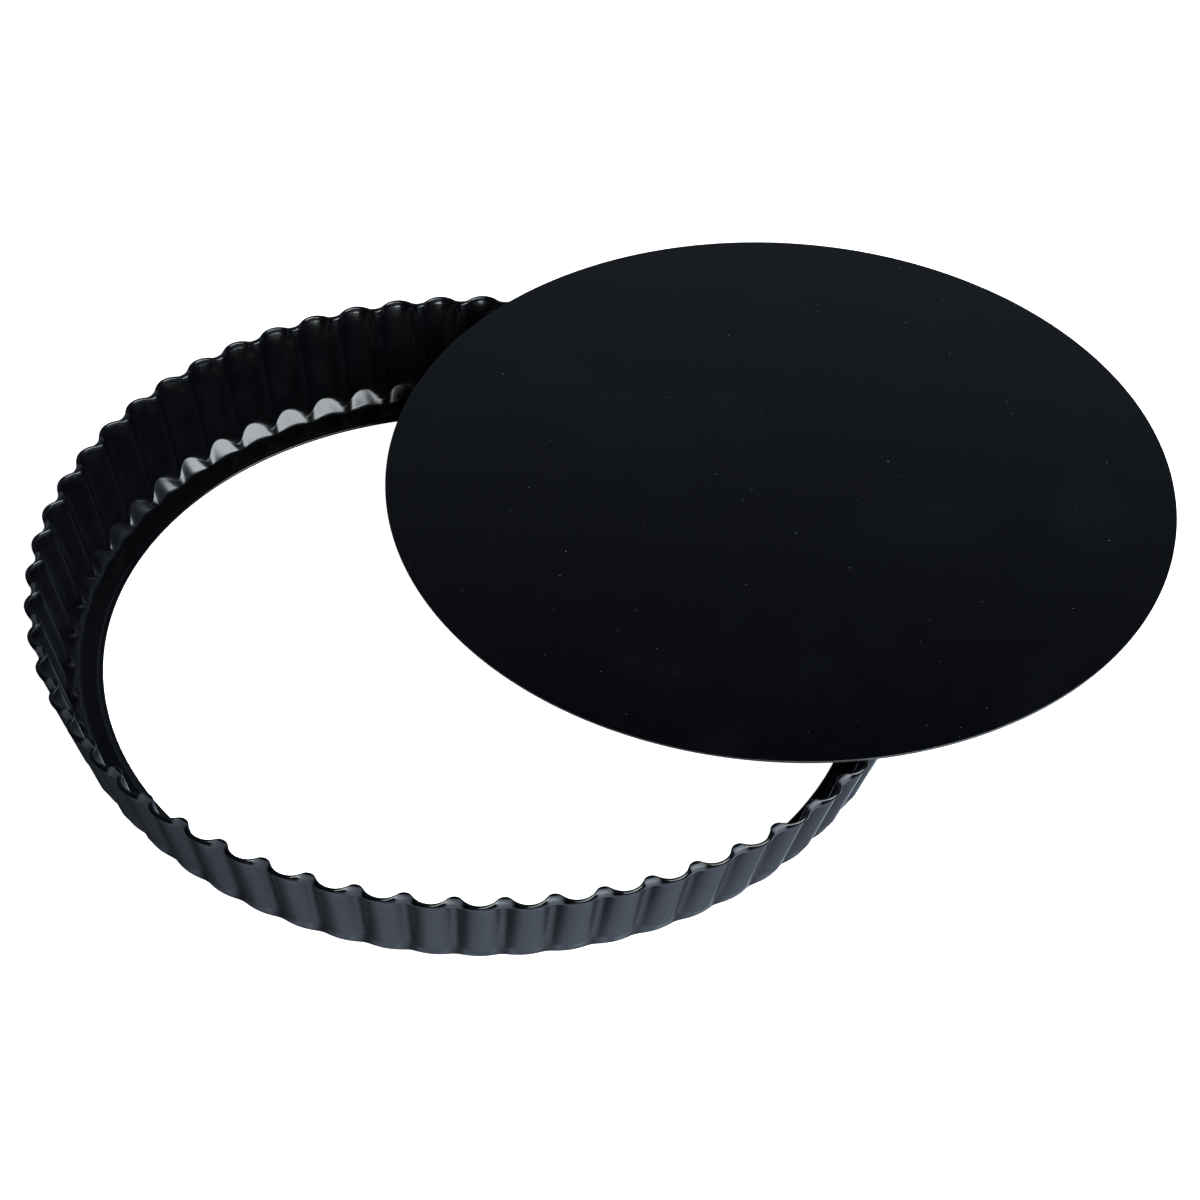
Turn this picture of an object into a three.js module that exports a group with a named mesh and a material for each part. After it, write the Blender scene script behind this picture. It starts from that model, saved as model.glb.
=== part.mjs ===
// Loose-bottom tart pan in millimetres, +Z up.
// Two pieces of thin coated steel: a fluted ring with a narrow ledge round its foot, and the
// flat round bottom that belongs on the ledge. Here the bottom is out of its seat: it lies flat
// across the rim, off to one side.
// The origin is the middle of the bounding box, at the level of the table.

import * as THREE from 'three';

// Fluted ring. Radii of the wall are to the middle of the sheet.
const FLUTES = 60;
const RING_HEIGHT = 34.5;          // table to the top of the rim
const SHEET = 0.6;                 // thickness of the ring's sheet
const HEEL_LEAN = THREE.MathUtils.degToRad(28);
const HEEL_Z = 6;                  // up to here the crests lean out more than the wall above
const WALL_LEAN = THREE.MathUtils.degToRad(18.1);
const FOOT_DEPTH = 0.7;            // how far a crease lies behind the crests: the flutes get
const HEEL_DEPTH = 1.8;            // deeper from the foot to the rim
const RIM_DEPTH = 3.7;
const CREASE_SHARE = 0.336;        // radius of a crease's arc, as a share of a crest's arc

// Rim: a rounded bead. Its outer edge is fuller than the wall below it, so it bridges the creases.
const BEAD_RADIUS = 0.65;
const BRIDGE_DEPTH = 1.5;          // how far the bridged edge stands out of a crease
const BRIDGE_HEIGHT = 2.6;         // from the root of the bridge to the middle of the bead
const BRIDGE_SHARE = 0.84;         // its CREASE_SHARE

// Ledge, folded under along its inner edge into the hem that the ring stands on
const LEDGE_INNER_RADIUS = 119.8;
const LEDGE_OUTER_RADIUS = 129.3;  // where the flat ledge ends and the bend begins
const BEND_RADIUS = 2.1;           // outside of the bend from ledge to wall
const HEM_THICKNESS = 2 * SHEET;
const HEM_WIDTH = 4.6;

// Loose bottom
const BOTTOM_RADIUS = 127.6;
const BOTTOM_THICKNESS = 0.8;
const BOTTOM_BEVEL = 0.15;
const BOTTOM_GAP = 0.2;            // clearance between the rim and the bottom lying on it
const BOTTOM_SHIFT = 106.6;        // from the ring's axis to the middle of the bottom
const BOTTOM_BEARING = THREE.MathUtils.degToRad(28.25);

// Fineness of the faceted surfaces
const CREST_STEPS = 4;             // facets along a flute's crest
const BEND_STEPS = 1;
const NOSE_STEPS = 4;
const CIRCLE_SIDES = 2 * FLUTES;

// Where the heel and the straight wall begin and end
const HALF_PITCH = Math.PI / FLUTES;
const BEND_CENTRE_Z = HEM_THICKNESS - SHEET + BEND_RADIUS;
const BEAD_CENTRE_Z = RING_HEIGHT - BEAD_RADIUS;
const MID_BEND_RADIUS = BEND_RADIUS - SHEET / 2;
const FOOT_Z = BEND_CENTRE_Z - MID_BEND_RADIUS * Math.sin(HEEL_LEAN);
const FOOT_CREST_RADIUS = LEDGE_OUTER_RADIUS + MID_BEND_RADIUS * Math.cos(HEEL_LEAN);
const HEEL_CREST_RADIUS = FOOT_CREST_RADIUS + (HEEL_Z - FOOT_Z) * Math.tan(HEEL_LEAN);
const RIM_CREST_RADIUS = HEEL_CREST_RADIUS + (BEAD_CENTRE_Z - HEEL_Z) * Math.tan(WALL_LEAN);

function onCircle(radius, angle, z) {
  return new THREE.Vector3(radius * Math.cos(angle), radius * Math.sin(angle), z);
}

// Outline of the middle of the sheet at a height, on the heel or on the wall above it
function wallOutline(z) {
  const { mapLinear } = THREE.MathUtils;
  const onHeel = z < HEEL_Z;
  const crest = onHeel
    ? mapLinear(z, FOOT_Z, HEEL_Z, FOOT_CREST_RADIUS, HEEL_CREST_RADIUS)
    : mapLinear(z, HEEL_Z, BEAD_CENTRE_Z, HEEL_CREST_RADIUS, RIM_CREST_RADIUS);
  const depth = onHeel
    ? mapLinear(z, FOOT_Z, HEEL_Z, FOOT_DEPTH, HEEL_DEPTH)
    : mapLinear(z, HEEL_Z, BEAD_CENTRE_Z, HEEL_DEPTH, RIM_DEPTH);
  return { crest, crease: crest - depth, share: CREASE_SHARE };
}

// Outline of the rim, `reach` outside the middle of the sheet at the crests. `bridging` says how
// much of the creases is bridged, from 0 to 1.
function rimOutline(reach, bridging) {
  const crest = RIM_CREST_RADIUS + reach;
  return {
    crest,
    crease: crest - RIM_DEPTH + bridging * BRIDGE_DEPTH,
    share: THREE.MathUtils.lerp(CREASE_SHARE, BRIDGE_SHARE, bridging),
  };
}

// Plan of one flute, `offset` outside its outline, as polar points about the ring's axis. It
// starts with the crease, half a pitch before the flute's own axis, and goes on along the crest,
// whose arc meets the arcs of the creases on both sides without a corner.
function flutePlan({ crest, crease, share }, offset) {
  // The distance between the centres of the two arcs is the sum of their radii. That makes a
  // quadratic equation for the radius of the crest's arc.
  const cosine = Math.cos(HALF_PITCH);
  const square = 2 * share * (1 - cosine);
  const linear = 2 * (crest - crease * cosine + share * (crest * cosine - crease));
  const constant = crest ** 2 + crease ** 2 - 2 * crest * crease * cosine;
  const arc = (Math.sqrt(linear ** 2 + 4 * square * constant) - linear) / (2 * square);

  const crestCentre = crest - arc;
  const creaseCentre = crease + share * arc;
  const sweep = Math.atan2(
    creaseCentre * Math.sin(HALF_PITCH),
    creaseCentre * cosine - crestCentre,
  );
  const plan = [{ radius: crease + offset, angle: -HALF_PITCH }];
  for (let step = 0; step <= CREST_STEPS; step += 1) {
    const turn = sweep * (2 * step / CREST_STEPS - 1);
    const x = crestCentre + (arc + offset) * Math.cos(turn);
    const y = (arc + offset) * Math.sin(turn);
    plan.push({ radius: Math.hypot(x, y), angle: Math.atan2(y, x) });
  }
  return plan;
}

// Closed loop round the ring at one height. `growth` says how far the flutes have grown out of
// the plain circle at the edge of the ledge: 0 is the circle, and 1 is the full outline.
function flutedLoop(outline, offset, z, growth = 1) {
  const plan = flutePlan(outline, offset);
  return Array.from({ length: FLUTES }, (_, flute) => (
    plan.map(({ radius, angle }) => onCircle(
      LEDGE_OUTER_RADIUS + growth * (radius - LEDGE_OUTER_RADIUS),
      (2 * flute + 1) * HALF_PITCH + angle,
      z,
    ))
  )).flat();
}

function plainLoop(radius, z) {
  return Array.from({ length: CIRCLE_SIDES }, (_, side) => (
    onCircle(radius, 2 * Math.PI * side / CIRCLE_SIDES, z)
  ));
}

// Hem along the inner edge of the ledge: from the top, round the nose, to the cut edge below.
function hemLoops() {
  const nose = HEM_THICKNESS / 2;
  const loops = Array.from({ length: NOSE_STEPS + 1 }, (_, step) => {
    const angle = Math.PI * (0.5 + step / NOSE_STEPS);
    const radius = LEDGE_INNER_RADIUS + nose + nose * Math.cos(angle);
    return plainLoop(radius, nose + nose * Math.sin(angle));
  });
  const cutEdge = LEDGE_INNER_RADIUS + HEM_WIDTH;
  loops.push(plainLoop(cutEdge, 0), plainLoop(cutEdge, HEM_THICKNESS - SHEET));
  return loops;
}

// Up one face of the bend, in which the flutes grow out of the ledge, and of the heel above it.
function footLoops(offset, radius) {
  const fullTurn = Math.PI / 2 - HEEL_LEAN;
  const loops = Array.from({ length: BEND_STEPS + 1 }, (_, step) => {
    const turn = fullTurn * step / BEND_STEPS;
    const growth = Math.sin(turn) / Math.sin(fullTurn);
    return flutedLoop(wallOutline(FOOT_Z), offset, BEND_CENTRE_Z - radius * Math.cos(turn), growth);
  });
  loops.push(flutedLoop(wallOutline(HEEL_Z), offset, HEEL_Z));
  return loops;
}

// Rim, from the outer face over the top to the inner face. The narrow flat on top is what the
// loose bottom lies on.
function beadLoops() {
  const neck = SHEET / 2;
  const neckDrop = Math.sqrt(BEAD_RADIUS ** 2 - neck ** 2);
  const neckZ = BEAD_CENTRE_Z - neckDrop;
  const rootZ = BEAD_CENTRE_Z - BRIDGE_HEIGHT;
  const flat = Math.tan(Math.PI / 6);
  return [
    flutedLoop(wallOutline(rootZ), neck, rootZ),
    flutedLoop(rimOutline(neck, 1 - neckDrop / BRIDGE_HEIGHT), 0, neckZ),
    flutedLoop(rimOutline(BEAD_RADIUS, 1), 0, BEAD_CENTRE_Z),
    flutedLoop(rimOutline(flat * BEAD_RADIUS, flat), 0, RING_HEIGHT),
    flutedLoop(rimOutline(0, 0), -flat * BEAD_RADIUS, RING_HEIGHT),
    flutedLoop(rimOutline(0, 0), -BEAD_RADIUS, BEAD_CENTRE_Z),
    flutedLoop(wallOutline(neckZ), -neck, neckZ),
  ];
}

// Closed surface through a cycle of loops. Where neighbouring loops differ in their number of
// points, each triangle takes its step along the loop that is behind.
function skin(loops) {
  const starts = [];
  let count = 0;
  for (const loop of loops) {
    starts.push(count);
    count += loop.length;
  }
  const triangles = [];
  loops.forEach((loop, index) => {
    const next = (index + 1) % loops.length;
    const nextLength = loops[next].length;
    const here = (step) => starts[index] + step % loop.length;
    const there = (step) => starts[next] + step % nextLength;
    let i = 0;
    let j = 0;
    while (i < loop.length || j < nextLength) {
      if ((i + 1) * nextLength <= (j + 1) * loop.length) {
        triangles.push(here(i), here(i + 1), there(j));
        i += 1;
      } else {
        triangles.push(here(i), there(j + 1), there(j));
        j += 1;
      }
    }
  });
  const positions = loops.flat().flatMap((point) => point.toArray());
  const geometry = new THREE.BufferGeometry();
  geometry.setAttribute('position', new THREE.Float32BufferAttribute(positions, 3));
  geometry.setIndex(triangles);
  geometry.computeVertexNormals();
  return geometry;
}

function flutedRing() {
  const outerFace = footLoops(SHEET / 2, BEND_RADIUS);
  const innerFace = footLoops(-SHEET / 2, BEND_RADIUS - SHEET).reverse();
  const geometry = skin([...hemLoops(), ...outerFace, ...beadLoops(), ...innerFace]);
  const coating = new THREE.MeshStandardMaterial({
    color: 0x1b1e23,
    roughness: 0.35,
    metalness: 0.3,
  });
  const ring = new THREE.Mesh(geometry, coating);
  ring.name = 'fluted_ring';
  return ring;
}

function looseBottom() {
  const flatRadius = BOTTOM_RADIUS - BOTTOM_BEVEL;
  const profile = [
    new THREE.Vector2(0, 0),
    new THREE.Vector2(flatRadius, 0),
    new THREE.Vector2(BOTTOM_RADIUS, BOTTOM_BEVEL),
    new THREE.Vector2(BOTTOM_RADIUS, BOTTOM_THICKNESS - BOTTOM_BEVEL),
    new THREE.Vector2(flatRadius, BOTTOM_THICKNESS),
    new THREE.Vector2(0, BOTTOM_THICKNESS),
  ];
  const coating = new THREE.MeshStandardMaterial({
    color: 0x14171a,
    roughness: 0.45,
    metalness: 0.3,
  });
  const bottom = new THREE.Mesh(new THREE.LatheGeometry(profile, CIRCLE_SIDES), coating);
  bottom.name = 'loose_bottom';
  bottom.rotation.x = Math.PI / 2;
  bottom.position.copy(onCircle(BOTTOM_SHIFT, BOTTOM_BEARING, RING_HEIGHT + BOTTOM_GAP));
  return bottom;
}

const group = new THREE.Group();
group.add(flutedRing(), looseBottom());
const box = new THREE.Box3().setFromObject(group);
const middle = box.getCenter(new THREE.Vector3());
group.position.set(-middle.x, -middle.y, -box.min.z);

export default group;
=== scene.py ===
"""Loose-bottom tart pan: a fluted ring, and its flat round bottom lying across the rim.

The CAD gives each piece its place. This script gives both pieces their fine surface: creased
flutes with a rounded rim and a hemmed ledge, and a thin disc with a softened cut edge, both in
black non-stick coating. Metres, +Z up.
"""

import math

import bpy
from mathutils import Matrix, Vector


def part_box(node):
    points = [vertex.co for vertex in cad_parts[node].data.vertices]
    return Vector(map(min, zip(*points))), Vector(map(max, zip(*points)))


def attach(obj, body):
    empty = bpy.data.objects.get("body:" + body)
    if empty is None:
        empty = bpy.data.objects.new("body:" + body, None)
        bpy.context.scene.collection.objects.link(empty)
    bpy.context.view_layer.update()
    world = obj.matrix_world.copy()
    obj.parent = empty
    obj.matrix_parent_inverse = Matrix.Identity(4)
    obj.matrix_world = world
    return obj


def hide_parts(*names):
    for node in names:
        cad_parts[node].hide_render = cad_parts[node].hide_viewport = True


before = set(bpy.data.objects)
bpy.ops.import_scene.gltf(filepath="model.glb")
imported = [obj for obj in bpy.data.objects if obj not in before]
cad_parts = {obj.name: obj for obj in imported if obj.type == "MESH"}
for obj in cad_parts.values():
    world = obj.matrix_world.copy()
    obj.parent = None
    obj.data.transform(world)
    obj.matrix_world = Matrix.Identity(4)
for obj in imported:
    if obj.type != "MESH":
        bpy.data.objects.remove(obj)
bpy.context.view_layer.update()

MM = 0.001

# Fluted ring: the wall leans out from a heel, and its flutes get deeper from foot to rim
FLUTES = 60
HALF_PITCH = math.pi / FLUTES
SHEET = 0.6 * MM
HEEL_LEAN = math.radians(28)
HEEL_Z = 6 * MM
WALL_LEAN = math.radians(18.1)
FOOT_DEPTH = 1.0 * MM
HEEL_DEPTH = 2.3 * MM
RIM_DEPTH = 3.7 * MM
CREASE_SHARE = 0.336  # radius of a crease's arc over that of a crest's
CREST_STEPS = 12
CREASE_STEPS = 6

# Rim: a bead that bridges the outside of each crease
BEAD_RADIUS = 0.65 * MM
BRIDGE_DEPTH = 1.5 * MM
BRIDGE_HEIGHT = 3.9 * MM
BRIDGE_SHARE = 0.84  # takes the place of CREASE_SHARE on the bead
BRIDGE_DROP = 0.9 * MM  # how far the bead sinks in the creases at its middle
NECK_DROP = 1.9 * BRIDGE_DROP  # and at its neck, below the middle

# Foot: a bend under the wall, a fillet inside it, and a ledge with a hemmed inner edge
LEDGE_INNER_RADIUS = 119.8 * MM
LEDGE_OUTER_RADIUS = 129.3 * MM
BEND_RADIUS = 2.1 * MM
HEM_THICKNESS = 2 * SHEET
HEM_WIDTH = 4.6 * MM
HEM_STEP = 0.2 * MM
HEM_STEP_WIDTH = 1.6 * MM
FILLET_RADIUS = 4.5 * MM
FILLET_CREASE_Z = 2.6 * MM
FILLET_TURN = math.radians(46)

# Loose bottom, with one hair scratch
EDGE_SOFTENING = 0.12 * MM
BOTTOM_SIDES = 360
SCRATCH_MIDDLE = (131.5 * MM, 38.2 * MM)
SCRATCH_SLOPE = -1.2
SCRATCH_REACH = 4 * MM

# Studio
FLOOR_HALF_WIDTH = 6.0
DOME_RADIUS = 5.9
DOME_TILT = 0.97 * math.pi / 2
LAMP_COLOUR = (0.9, 0.97, 1)
TABLE_BELOW_COLOUR = (0.12, 0.15, 0.19, 1)

# Camera: a long lens, seen from above the front
CAMERA_ELEVATION = math.radians(42.35)
CAMERA_TURN = math.radians(0.46)
CAMERA_ROLL = math.radians(-2.32)
CAMERA_DISTANCE = 1.3171
CAMERA_LENS = 125.8
AIM_RIGHT = 37.2 * MM
AIM_UP = -7.17 * MM

ring_low, ring_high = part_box("fluted_ring")
RING_HEIGHT = ring_high.z - ring_low.z
RING_CENTRE = (ring_low + ring_high) / 2
RIM_CENTRE = Vector((RING_CENTRE.x, RING_CENTRE.y, ring_high.z))

# Worked out from these: bend, bead, foot, heel and rim, in the middle of the sheet
BEND_CENTRE_Z = HEM_THICKNESS - SHEET + BEND_RADIUS
BEAD_CENTRE_Z = RING_HEIGHT - BEAD_RADIUS
MID_BEND_RADIUS = BEND_RADIUS - SHEET / 2
FOOT_Z = BEND_CENTRE_Z - MID_BEND_RADIUS * math.sin(HEEL_LEAN)
FOOT_CREST_RADIUS = LEDGE_OUTER_RADIUS + MID_BEND_RADIUS * math.cos(HEEL_LEAN)
HEEL_CREST_RADIUS = FOOT_CREST_RADIUS + (HEEL_Z - FOOT_Z) * math.tan(HEEL_LEAN)
RIM_CREST_RADIUS = HEEL_CREST_RADIUS + (BEAD_CENTRE_Z - HEEL_Z) * math.tan(WALL_LEAN)


# ---------------------------------------------------------------- geometry

def mix(low, high, share):
    return low + (high - low) * share


def wall_outline(z):
    """Crest radius, crease radius and crease share of the middle of the sheet at a height."""
    if z < HEEL_Z:
        rise = (z - FOOT_Z) / (HEEL_Z - FOOT_Z)
        crest = mix(FOOT_CREST_RADIUS, HEEL_CREST_RADIUS, rise)
        return crest, crest - mix(FOOT_DEPTH, HEEL_DEPTH, rise), CREASE_SHARE
    rise = (z - HEEL_Z) / (BEAD_CENTRE_Z - HEEL_Z)
    crest = mix(HEEL_CREST_RADIUS, RIM_CREST_RADIUS, rise)
    return crest, crest - mix(HEEL_DEPTH, RIM_DEPTH, rise), CREASE_SHARE


def rim_outline(z, reach, bridging):
    """The wall's outline, `reach` further out on the crests, with its creases bridged, 0 to 1."""
    crest, crease, share = wall_outline(z)
    return crest + reach, crease + reach + bridging * BRIDGE_DEPTH, mix(share, BRIDGE_SHARE, bridging)


def flute_plan(outline, offset):
    """One flute at `offset` outside its outline, as polar points (radius, angle).

    It starts on the crease before the flute, whose arc is shared with the flute before, and goes
    on along the crest, up to where the next crease begins. The arcs of crest and crease touch, so
    the distance between their centres is the sum of their radii.
    """
    crest, crease, share = outline
    cosine = math.cos(HALF_PITCH)
    square = 2 * share * (1 - cosine)
    linear = 2 * (crest - crease * cosine + share * (crest * cosine - crease))
    constant = crest ** 2 + crease ** 2 - 2 * crest * crease * cosine
    arc = (math.sqrt(linear ** 2 + 4 * square * constant) - linear) / (2 * square)
    crest_centre = crest - arc
    crease_arc = share * arc
    crease_x = (crease + crease_arc) * cosine
    crease_y = -(crease + crease_arc) * math.sin(HALF_PITCH)
    sweep = math.atan2(-crease_y, crease_x - crest_centre)
    points = []
    for step in range(CREASE_STEPS):
        turn = (sweep - HALF_PITCH) * (2 * step / CREASE_STEPS - 1)
        angle = math.pi - HALF_PITCH - turn
        points.append((crease_x + (crease_arc - offset) * math.cos(angle),
                       crease_y + (crease_arc - offset) * math.sin(angle)))
    for step in range(CREST_STEPS):
        turn = sweep * (2 * step / CREST_STEPS - 1)
        points.append((crest_centre + (arc + offset) * math.cos(turn),
                       (arc + offset) * math.sin(turn)))
    return [(math.hypot(x, y), math.atan2(y, x)) for x, y in points]


def on_circle(radius, angle, z):
    return (RING_CENTRE.x + radius * math.cos(angle), RING_CENTRE.y + radius * math.sin(angle), z)


def fluted_loop(outline, offset, z, growth=1.0, drop=0.0):
    """Closed loop at one height, lowered by `drop` in the creases.

    `growth` grows the flutes out of the plain circle at the edge of the ledge.
    """
    plan = flute_plan(outline, offset)
    rim = flute_plan(wall_outline(BEAD_CENTRE_Z), 0)
    loop = []
    for flute in range(FLUTES):
        axis = (2 * flute + 1) * HALF_PITCH
        for (radius, angle), (rim_radius, _) in zip(plan, rim):
            in_crease = (RIM_CREST_RADIUS - rim_radius) / RIM_DEPTH
            loop.append(on_circle(mix(LEDGE_OUTER_RADIUS, radius, growth), axis + angle,
                                  z - drop * in_crease))
    return loop


def plain_loop(radius, z):
    """Circle with its points under those of the fluted loops above it."""
    plan = flute_plan(wall_outline(FOOT_Z), 0)
    return [on_circle(radius, (2 * flute + 1) * HALF_PITCH + angle, z)
            for flute in range(FLUTES) for _, angle in plan]


def hem_loops(steps=10, soft=0.1 * MM, support=0.3 * MM):
    """From the ledge's top, down the step to the hem, round its nose, to the ledge's underside."""
    nose = (HEM_THICKNESS - HEM_STEP) / 2
    nose_radius = LEDGE_INNER_RADIUS + nose
    step_radius = LEDGE_INNER_RADIUS + HEM_STEP_WIDTH
    cut_edge = LEDGE_INNER_RADIUS + HEM_WIDTH
    loops = [plain_loop(step_radius + 5 * HEM_STEP, HEM_THICKNESS)]
    for step in range(steps + 1):
        angle = math.pi * step / steps
        loops.append(plain_loop(step_radius + HEM_STEP * math.cos(angle),
                                HEM_THICKNESS - HEM_STEP * (1 - math.cos(angle)) / 2))
    loops.append(plain_loop(nose_radius + support, 2 * nose))
    for step in range(steps + 1):
        angle = math.pi * (0.5 + step / steps)
        loops.append(plain_loop(nose_radius + nose * math.cos(angle), nose + nose * math.sin(angle)))
    underside = HEM_THICKNESS - SHEET
    for radius, z in ((nose_radius + support, 0), (cut_edge - support, 0), (cut_edge - soft, 0),
                      (cut_edge, soft), (cut_edge, underside - soft / 2),
                      (cut_edge + soft / 2, underside), (cut_edge + support, underside),
                      (LEDGE_OUTER_RADIUS - support, underside)):
        loops.append(plain_loop(radius, z))
    return loops


def fillet_loops(steps=10, support=0.35 * MM):
    """Inside of the foot: a soft fillet from the ledge to the wall, higher on the crests."""
    top = []
    for index, (rim_radius, _) in enumerate(flute_plan(wall_outline(BEAD_CENTRE_Z), 0)):
        z = mix(HEEL_Z, FILLET_CREASE_Z, (RIM_CREST_RADIUS - rim_radius) / RIM_DEPTH)
        top.append((*flute_plan(wall_outline(z), -SHEET / 2)[index], z))
    turns = [FILLET_TURN * step / steps for step in range(steps + 1)]
    profile = [(FILLET_RADIUS * math.sin(turn), FILLET_RADIUS * (1 - math.cos(turn)))
               for turn in turns]
    arc_run, arc_rise = profile[-1]
    full_rise = HEEL_Z - HEM_THICKNESS
    full_run = arc_run + (full_rise - arc_rise) / math.tan(FILLET_TURN)
    start = HEEL_CREST_RADIUS - SHEET / 2 - full_run
    profile += [(mix(arc_run, full_run, share), mix(arc_rise, full_rise, share))
                for share in (0.4, 0.8, 0.93, 1.0)]
    loops = [plain_loop(start - support, HEM_THICKNESS)]
    for run, rise in profile:
        loops.append([on_circle(mix(start, radius, run / full_run),
                                (2 * flute + 1) * HALF_PITCH + angle,
                                mix(HEM_THICKNESS, z, rise / full_rise))
                      for flute in range(FLUTES) for radius, angle, z in top])
    return loops


def bend_loops(steps=8):
    """Underside of the bend, from the ledge to the heel."""
    full_turn = math.pi / 2 - HEEL_LEAN
    outline = wall_outline(FOOT_Z)
    loops = []
    for step in range(steps + 1):
        turn = full_turn * step / steps
        growth = math.sin(turn) / math.sin(full_turn)
        z = BEND_CENTRE_Z - BEND_RADIUS * math.cos(turn)
        loops.append(fluted_loop(outline, SHEET / 2, z, growth))
    return loops


def heel_loops(low_z, support=0.35 * MM):
    """Outside of the heel, between the bend and the wall."""
    heights = (low_z + support, (low_z + HEEL_Z) / 2, HEEL_Z - support, HEEL_Z)
    return [fluted_loop(wall_outline(z), SHEET / 2, z) for z in heights]


def wall_loops(offset, high_z, steps=5, support=0.35 * MM):
    """Wall from the heel up to a height, without that end but with a loop close to it."""
    heights = [HEEL_Z + support]
    heights += [mix(HEEL_Z, high_z, step / steps) for step in range(1, steps)]
    heights += [high_z - support]
    return [fluted_loop(wall_outline(z), offset, z) for z in heights]


def neck_height():
    """Height of the bead's middle over its neck, where its round meets the sheet."""
    return math.sqrt(BEAD_RADIUS ** 2 - (SHEET / 2) ** 2)


def bridge_loops(steps=5):
    """Outer face below the bead, where the bridges over the creases grow."""
    root_z = BEAD_CENTRE_Z - BRIDGE_HEIGHT
    neck_z = BEAD_CENTRE_Z - neck_height()
    neck_bridging = 1 - neck_height() / BRIDGE_HEIGHT
    loops = [fluted_loop(wall_outline(root_z), SHEET / 2, root_z)]
    for step in range(1, steps):
        rise = step / steps
        z = mix(root_z, neck_z, rise)
        outline = rim_outline(z, SHEET / 2, neck_bridging * rise)
        loops.append(fluted_loop(outline, 0, z, drop=NECK_DROP * rise))
    return loops


def bead_loops(steps=9):
    """Round of the bead: its outer half reaches over the creases, its inner half follows them."""
    below = math.asin(neck_height() / BEAD_RADIUS)
    loops = []
    for step in range(steps + 1):
        angle = mix(-below, math.pi / 2, step / steps)
        z = BEAD_CENTRE_Z + BEAD_RADIUS * math.sin(angle)
        reach = BEAD_RADIUS * math.cos(angle)
        if angle < 0:
            bridging = 1 + BEAD_RADIUS * math.sin(angle) / BRIDGE_HEIGHT
        else:
            bridging = math.cos(angle)
        drop = BRIDGE_DROP * (1 - math.sin(angle))
        loops.append(fluted_loop(rim_outline(BEAD_CENTRE_Z, reach, bridging), 0, z, drop=drop))
    for step in range(1, steps + 1):
        angle = mix(math.pi / 2, math.pi + below, step / steps)
        z = BEAD_CENTRE_Z + BEAD_RADIUS * math.sin(angle)
        loops.append(fluted_loop(wall_outline(BEAD_CENTRE_Z), BEAD_RADIUS * math.cos(angle), z))
    return loops


def mesh_object(name, points, faces, smooth=True):
    mesh = bpy.data.meshes.new(name)
    mesh.from_pydata(points, [], faces)
    mesh.validate()
    mesh.polygons.foreach_set("use_smooth", [smooth] * len(mesh.polygons))
    mesh.update()
    piece = bpy.data.objects.new(name, mesh)
    bpy.context.scene.collection.objects.link(piece)
    return piece


def cyclic_faces(rows, columns, closed_rows):
    """Quads between neighbouring rows of a grid whose columns close on themselves."""
    faces = []
    for row in range(rows if closed_rows else rows - 1):
        above = (row + 1) % rows
        for column in range(columns):
            beside = (column + 1) % columns
            faces.append((row * columns + column, row * columns + beside,
                          above * columns + beside, above * columns + column))
    return faces


def make_ring():
    """One closed skin: up the outside from the ledge to the bead, and down the inside."""
    bend = bend_loops()
    loops = hem_loops() + bend + heel_loops(bend[-1][0][2])
    loops += wall_loops(SHEET / 2, BEAD_CENTRE_Z - BRIDGE_HEIGHT) + bridge_loops() + bead_loops()
    loops += wall_loops(-SHEET / 2, BEAD_CENTRE_Z - neck_height())[::-1] + fillet_loops()[::-1]
    points = [point for loop in loops for point in loop]
    return mesh_object("ring", points, cyclic_faces(len(loops), len(loops[0]), True))


def make_bottom():
    """Flat disc with both edges softened."""
    low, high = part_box("loose_bottom")
    centre = (low + high) / 2
    radius = (high.x - low.x) / 2
    soft = EDGE_SOFTENING
    flat_shares = (0.25, 0.5, 0.75, 0.92, 0.985, 0.997)
    profile = [(radius * share, low.z) for share in flat_shares]
    for corner_z, first in ((low.z + soft, -math.pi / 2), (high.z - soft, 0.0)):
        for step in range(5):
            angle = first + math.pi / 2 * step / 4
            profile.append((radius - soft + soft * math.cos(angle), corner_z + soft * math.sin(angle)))
    profile += [(radius * share, high.z) for share in reversed(flat_shares)]
    points = []
    for r, z in profile:
        for side in range(BOTTOM_SIDES):
            angle = 2 * math.pi * side / BOTTOM_SIDES
            points.append((centre.x + r * math.cos(angle), centre.y + r * math.sin(angle), z))
    faces = cyclic_faces(len(profile), BOTTOM_SIDES, False)
    last = (len(profile) - 1) * BOTTOM_SIDES
    faces.append(tuple(reversed(range(BOTTOM_SIDES))))
    faces.append(tuple(range(last, last + BOTTOM_SIDES)))
    return mesh_object("bottom", points, faces)


# ---------------------------------------------------------------- materials

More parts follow.
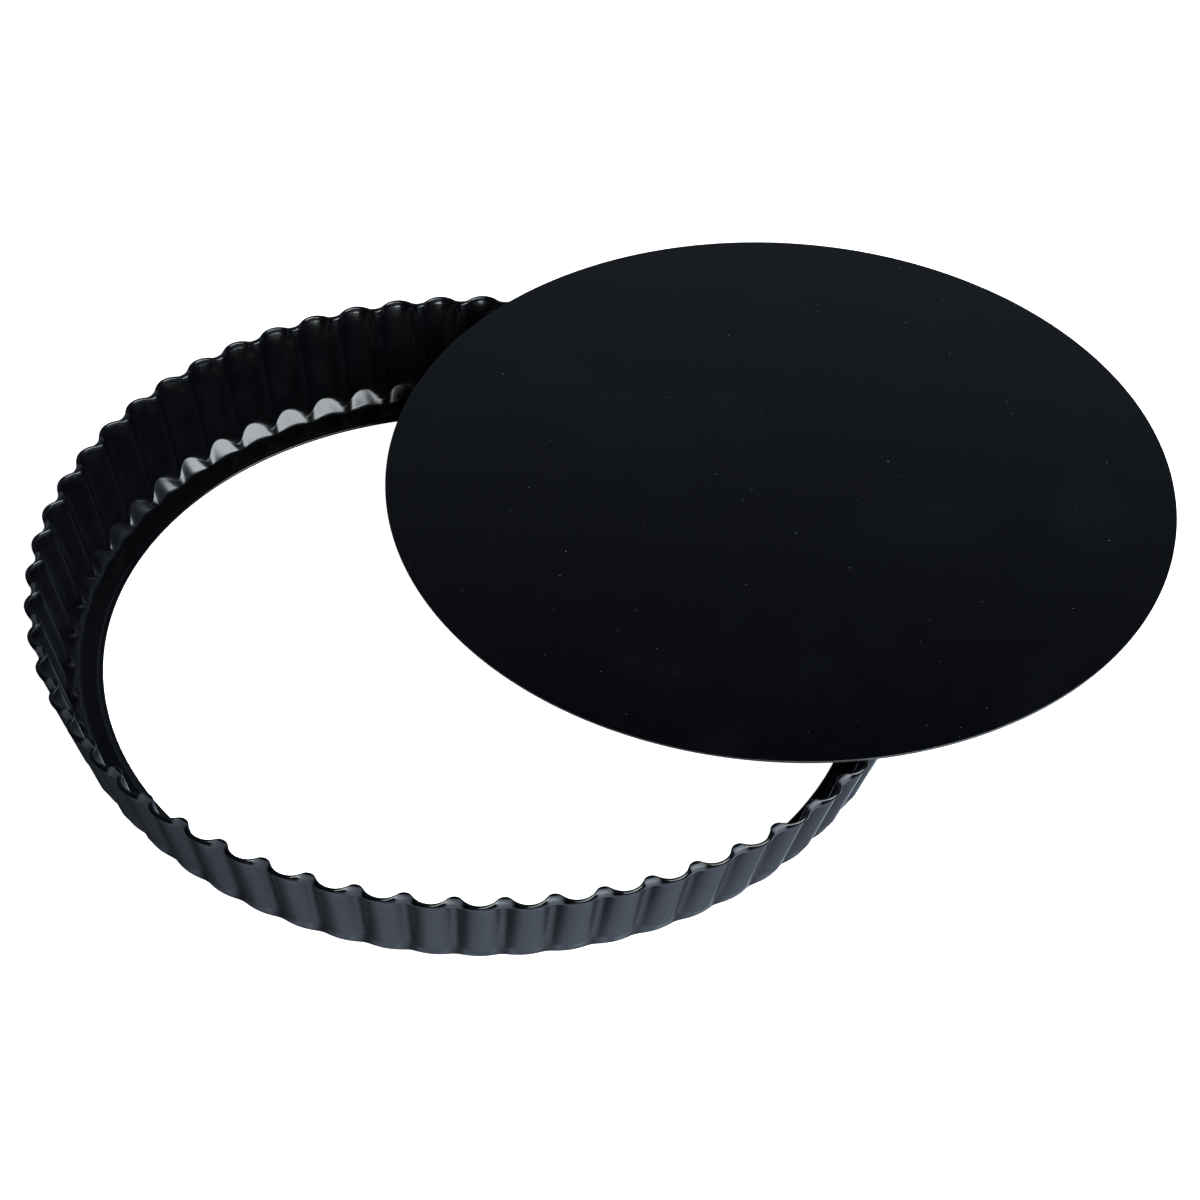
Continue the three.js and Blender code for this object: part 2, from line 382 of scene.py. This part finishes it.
class Graph:
    """Small helper to write node trees."""

    def __init__(self, name):
        self.material = bpy.data.materials.new(name)
        self.material.use_nodes = True
        self.tree = self.material.node_tree
        self.shader = self.tree.nodes["Principled BSDF"]
        self.place = self.node("ShaderNodeTexCoord").outputs["Object"]

    def node(self, kind, **settings):
        made = self.tree.nodes.new(kind)
        for name, value in settings.items():
            setattr(made, name, value)
        return made

    def plug(self, value, socket):
        if isinstance(value, bpy.types.NodeSocket):
            self.tree.links.new(value, socket)
        else:
            socket.default_value = value

    def math(self, operation, *values):
        made = self.node("ShaderNodeMath", operation=operation)
        for value, socket in zip(values, made.inputs):
            self.plug(value, socket)
        return made.outputs[0]

    def between(self, value, low, high, to_low=0.0, to_high=1.0):
        """Smooth step of a value from one range to another, held at its ends."""
        made = self.node("ShaderNodeMapRange", interpolation_type="SMOOTHSTEP")
        for number, socket in zip((value, low, high, to_low, to_high), made.inputs):
            self.plug(number, socket)
        return made.outputs[0]

    def noise(self, scale, detail=2.0, vector=None):
        made = self.node("ShaderNodeTexNoise")
        made.inputs["Scale"].default_value = scale
        made.inputs["Detail"].default_value = detail
        self.plug(vector or self.place, made.inputs["Vector"])
        return made.outputs["Fac"]

    def scaled(self, scale):
        """Object coordinates, stretched along each axis."""
        made = self.node("ShaderNodeVectorMath", operation="MULTIPLY")
        self.plug(self.place, made.inputs[0])
        made.inputs[1].default_value = scale
        return made.outputs[0]

    def colours(self, share, low, high):
        made = self.node("ShaderNodeMix", data_type="RGBA")
        self.plug(share, made.inputs["Factor"])
        for colour, name in ((low, "A"), (high, "B")):
            socket = [s for s in made.inputs if s.name == name and s.type == "RGBA"][0]
            self.plug(colour, socket)
        return [s for s in made.outputs if s.type == "RGBA"][0]

    def bump(self, height, distance, strength=1.0, under=None):
        made = self.node("ShaderNodeBump")
        made.inputs["Strength"].default_value = strength
        made.inputs["Distance"].default_value = distance
        self.plug(height, made.inputs["Height"])
        if under is not None:
            self.plug(under, made.inputs["Normal"])
        return made.outputs["Normal"]


def ring_coating():
    """Semi-gloss black coating: orange peel, faint drawing marks, and painted light on the webs over
    the creases.
    """
    g = Graph("ring_coating")
    g.shader.inputs["IOR"].default_value = 1.5
    spot = g.node("ShaderNodeSeparateXYZ")
    g.plug(g.place, spot.inputs[0])
    z = spot.outputs["Z"]
    x = g.math("SUBTRACT", spot.outputs["X"], RING_CENTRE.x)
    y = g.math("SUBTRACT", spot.outputs["Y"], RING_CENTRE.y)
    radius = g.math("SQRT", g.math("ADD", g.math("MULTIPLY", x, x), g.math("MULTIPLY", y, y)))
    phase = g.math("COSINE", g.math("MULTIPLY", g.math("ARCTAN2", y, x), float(FLUTES)))
    behind = RIM_CREST_RADIUS - RIM_DEPTH + BEAD_RADIUS
    # Mask of the webs that bridge the creases just below the rim, where light is painted on below
    web = g.math("MULTIPLY", g.between(phase, 0.35, 0.8),
                 g.between(radius, behind - 0.2 * MM, behind + 0.5 * MM))
    web = g.math("MULTIPLY", web, g.between(z, RING_HEIGHT - 3.2 * MM, RING_HEIGHT - 2.2 * MM))

    cloud = g.noise(90, 3)
    black = g.colours(cloud, (0.0005, 0.0006, 0.0009, 1), (0.0011, 0.0013, 0.0018, 1))
    # Painted light: the webs get a lighter, speckled grey base and rougher gloss in place of the floor
    # light that more steeply sloped webs would reflect
    web_painted_light = g.colours(g.noise(1500, 2), (0.022, 0.025, 0.031, 1), (0.034, 0.039, 0.049, 1))
    g.plug(g.colours(web, black, web_painted_light), g.shader.inputs["Base Color"])
    sheen = g.between(g.noise(160, 3), 0.3, 0.7, 0.16, 0.22)
    g.plug(g.math("ADD", sheen, g.math("MULTIPLY", web, 0.35)), g.shader.inputs["Roughness"])

    grain = g.bump(g.noise(2600, 2), 0.012 * MM, 0.5)
    marks = g.noise(1.0, 1.0, g.scaled((18, 18, 1500)))
    near_rim = g.between(z, RING_HEIGHT - 7 * MM, RING_HEIGHT - 2.5 * MM)
    drawn = g.bump(g.math("MULTIPLY", marks, near_rim), 0.05 * MM, 0.6, grain)
    g.plug(drawn, g.shader.inputs["Normal"])
    return g.material


def bottom_coating():
    """Satin black coating with faint smudges, a few specks and a hair scratch, and a bare edge."""
    g = Graph("bottom_coating")
    g.shader.inputs["IOR"].default_value = 1.5
    spot = g.node("ShaderNodeSeparateXYZ")
    g.plug(g.place, spot.inputs[0])
    x, y = spot.outputs["X"], spot.outputs["Y"]
    way = g.node("ShaderNodeSeparateXYZ")
    g.plug(g.node("ShaderNodeTexCoord").outputs["Normal"], way.inputs[0])
    bare = g.between(g.math("ABSOLUTE", way.outputs["Z"]), 0.6, 0.3)

    smudge = g.between(g.noise(22, 4), 0.52, 0.72)
    specks = g.between(g.noise(700, 1), 0.79, 0.82)
    bow = g.math("SUBTRACT", g.math("SUBTRACT", y, SCRATCH_MIDDLE[1]),
                 g.math("MULTIPLY", g.math("SUBTRACT", x, SCRATCH_MIDDLE[0]), SCRATCH_SLOPE))
    along = g.math("ABSOLUTE", g.math("SUBTRACT", x, SCRATCH_MIDDLE[0]))
    scratch = g.math("MULTIPLY", g.between(g.math("ABSOLUTE", bow), 0.35 * MM, 0.12 * MM),
                     g.between(along, SCRATCH_REACH, 0.6 * SCRATCH_REACH))

    black = g.colours(smudge, (0.0004, 0.0005, 0.0007, 1), (0.0010, 0.0012, 0.0016, 1))
    dusted = g.colours(specks, black, (0.05, 0.05, 0.05, 1))
    g.plug(g.colours(bare, dusted, (0.035, 0.038, 0.043, 1)), g.shader.inputs["Base Color"])
    g.plug(g.math("SUBTRACT", 0.5, g.math("MULTIPLY", scratch, 0.35)),
           g.shader.inputs["Specular IOR Level"])
    satin = g.math("ADD", g.between(g.noise(140, 3), 0.3, 0.7, 0.15, 0.17),
                   g.math("MULTIPLY", smudge, 0.02))
    g.plug(g.math("MAXIMUM", satin, g.math("MULTIPLY", bare, 0.45)), g.shader.inputs["Roughness"])
    g.plug(g.bump(g.noise(2200, 2), 0.006 * MM, 0.5), g.shader.inputs["Normal"])
    return g.material


def floor_material():
    g = Graph("pale_floor")
    g.shader.inputs["Base Color"].default_value = (0.8, 0.8, 0.8, 1)
    g.shader.inputs["Roughness"].default_value = 0.9
    g.shader.inputs["Emission Color"].default_value = (1, 1, 1, 1)
    g.shader.inputs["Emission Strength"].default_value = 1.0
    return g.material


# ---------------------------------------------------------------- studio

def make_floor():
    """Plain white floor, which the gloss of the coating doesn't see."""
    half = FLOOR_HALF_WIDTH
    corners = [(-half, -half, 0), (half, -half, 0), (half, half, 0), (-half, half, 0)]
    floor = mesh_object("floor", corners, [(0, 1, 2, 3)], smooth=False)
    floor.data.materials.append(floor_material())
    floor.visible_glossy = False
    return floor


def make_world():
    """What the gloss of the coating sees: a table lit from the right, and a dark room.

    A ramp lists brightness by the height that a ray points to, from straight down, -1, through
    the horizon, 0, to straight up, 1. One ramp is for rays to the left, one for rays to the right.
    The table is darker straight below, at the foot of the pan.
    """
    world = bpy.data.worlds.new("studio")
    bpy.context.scene.world = world
    world.use_nodes = True
    tree = world.node_tree
    coords = tree.nodes.new("ShaderNodeTexCoord")
    split = tree.nodes.new("ShaderNodeSeparateXYZ")
    tree.links.new(coords.outputs["Generated"], split.inputs[0])

    def ramp(stops):
        """Colour by height, a little blue."""
        height = tree.nodes.new("ShaderNodeMapRange")
        height.inputs["From Min"].default_value = -1
        tree.links.new(split.outputs["Z"], height.inputs["Value"])
        made = tree.nodes.new("ShaderNodeValToRGB")
        made.color_ramp.interpolation = "LINEAR"
        while len(made.color_ramp.elements) < len(stops):
            made.color_ramp.elements.new(0.5)
        for element, (z, level) in zip(made.color_ramp.elements, stops):
            element.position = (z + 1) / 2
            element.color = (level * 0.85, level, level * 1.25, 1)
        tree.links.new(height.outputs[0], made.inputs["Fac"])
        return made.outputs["Color"]

    def step(axis, low, high):
        """Smooth step from 0 to 1 as a ray's direction goes from `low` to `high` along an axis."""
        made = tree.nodes.new("ShaderNodeMapRange")
        made.interpolation_type = "SMOOTHSTEP"
        made.inputs["From Min"].default_value = low
        made.inputs["From Max"].default_value = high
        tree.links.new(split.outputs[axis], made.inputs["Value"])
        return made.outputs[0]

    def blend(share, first, second):
        """Mix of a colour socket with another one, or with a fixed colour."""
        made = tree.nodes.new("ShaderNodeMix")
        made.data_type = "RGBA"
        tree.links.new(share, made.inputs["Factor"])
        colours = [s for s in made.inputs if s.type == "RGBA"]
        for colour, socket in zip((first, second), colours):
            if isinstance(colour, bpy.types.NodeSocket):
                tree.links.new(colour, socket)
            else:
                socket.default_value = colour
        return [s for s in made.outputs if s.type == "RGBA"][0]

    above = [(0.0, 0.005), (0.25, 0.01), (0.50, 0.24), (0.60, 0.21), (0.65, 0.12), (0.675, 0.03),
             (0.70, 0.0), (1.0, 0.0)]
    left = ramp([(-1.0, 0.60), (-0.97, 0.40), (-0.945, 0.24), (-0.92, 0.14), (-0.87, 0.07),
                 (-0.82, 0.03), (-0.75, 0.01), (-0.1, 0.003)] + above)
    right = ramp([(-1.0, 0.62), (-0.96, 0.64), (-0.92, 0.48), (-0.87, 0.33), (-0.84, 0.28),
                  (-0.80, 0.45), (-0.76, 0.80), (-0.72, 1.00), (-0.66, 1.00), (-0.61, 0.45),
                  (-0.5, 0.12), (-0.3, 0.02), (-0.1, 0.003)] + above)

    table = blend(step("X", -0.32, 0.12), left, right)
    beneath = tree.nodes.new("ShaderNodeMath")
    beneath.operation = "MULTIPLY"
    tree.links.new(step("Y", 0.02, 0.2), beneath.inputs[0])
    tree.links.new(step("Z", -0.93, -0.98), beneath.inputs[1])
    seen = blend(beneath.outputs[0], table, TABLE_BELOW_COLOUR)
    tree.links.new(seen, tree.nodes["Background"].inputs["Color"])


def make_backdrop():
    """White dome far behind everything, which only the camera sees."""
    rings, sides = 12, 48
    points = []
    for ring_step in range(rings + 1):
        tilt = DOME_TILT * ring_step / rings
        radius = DOME_RADIUS * math.cos(tilt)
        for side in range(sides):
            angle = 2 * math.pi * side / sides
            points.append((radius * math.cos(angle), radius * math.sin(angle),
                           DOME_RADIUS * math.sin(tilt)))
    faces = cyclic_faces(rings + 1, sides, False)
    faces.append(tuple(range(rings * sides, (rings + 1) * sides)))
    dome = mesh_object("backdrop", points, faces)
    dome.data.materials.append(floor_material())
    dome.visible_glossy = False
    dome.visible_diffuse = False
    dome.visible_shadow = False
    return dome


def softbox(name, bearing, elevation, distance, width, height, radiance):
    """Rectangular area light facing the pan from a bearing and an elevation in degrees."""
    b, e = math.radians(bearing), math.radians(elevation)
    away = Vector((math.cos(e) * math.cos(b), math.cos(e) * math.sin(b), math.sin(e)))
    data = bpy.data.lights.new(name, "AREA")
    data.shape = "RECTANGLE"
    data.size, data.size_y = width, height
    data.energy = radiance * math.pi * width * height
    data.color = LAMP_COLOUR
    light = bpy.data.objects.new(name, data)
    light.location = Vector((RING_CENTRE.x, RING_CENTRE.y, 0)) + distance * away
    light.rotation_euler = away.to_track_quat("Z", "Y").to_euler()
    light.visible_camera = False
    bpy.context.scene.collection.objects.link(light)


def make_camera():
    """Camera aimed past the middle of the rim, so that ring and disc share the picture."""
    e, t = CAMERA_ELEVATION, CAMERA_TURN
    right = Vector((math.cos(t), math.sin(t), 0))
    back = Vector((math.sin(t) * math.cos(e), -math.cos(t) * math.cos(e), math.sin(e)))
    up = back.cross(right)
    camera_right = math.cos(CAMERA_ROLL) * right - math.sin(CAMERA_ROLL) * up
    camera_up = math.sin(CAMERA_ROLL) * right + math.cos(CAMERA_ROLL) * up
    aim = RIM_CENTRE + AIM_RIGHT * camera_right + AIM_UP * camera_up
    data = bpy.data.cameras.new("camera")
    data.lens = CAMERA_LENS
    data.sensor_width = 36
    data.clip_start, data.clip_end = 0.05, 30
    camera = bpy.data.objects.new("camera", data)
    turn = Matrix((camera_right, camera_up, back)).transposed()
    camera.matrix_world = Matrix.Translation(aim + CAMERA_DISTANCE * back) @ turn.to_4x4()
    bpy.context.scene.collection.objects.link(camera)
    bpy.context.scene.camera = camera


# ---------------------------------------------------------------- scene

make_camera()

ring = make_ring()
ring.data.materials.append(ring_coating())
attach(ring, "ring")
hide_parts("fluted_ring")

bottom = make_bottom()
bottom.data.materials.append(bottom_coating())
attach(bottom, "bottom")
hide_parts("loose_bottom")

make_floor()
make_backdrop()
make_world()
softbox("key_softbox", bearing=-21, elevation=43, distance=1.3, width=1.0, height=0.9, radiance=11)
softbox("rim_strip", bearing=-70, elevation=34, distance=1.3, width=0.7, height=0.5, radiance=11)

bpy.context.scene.view_settings.view_transform = "Standard"
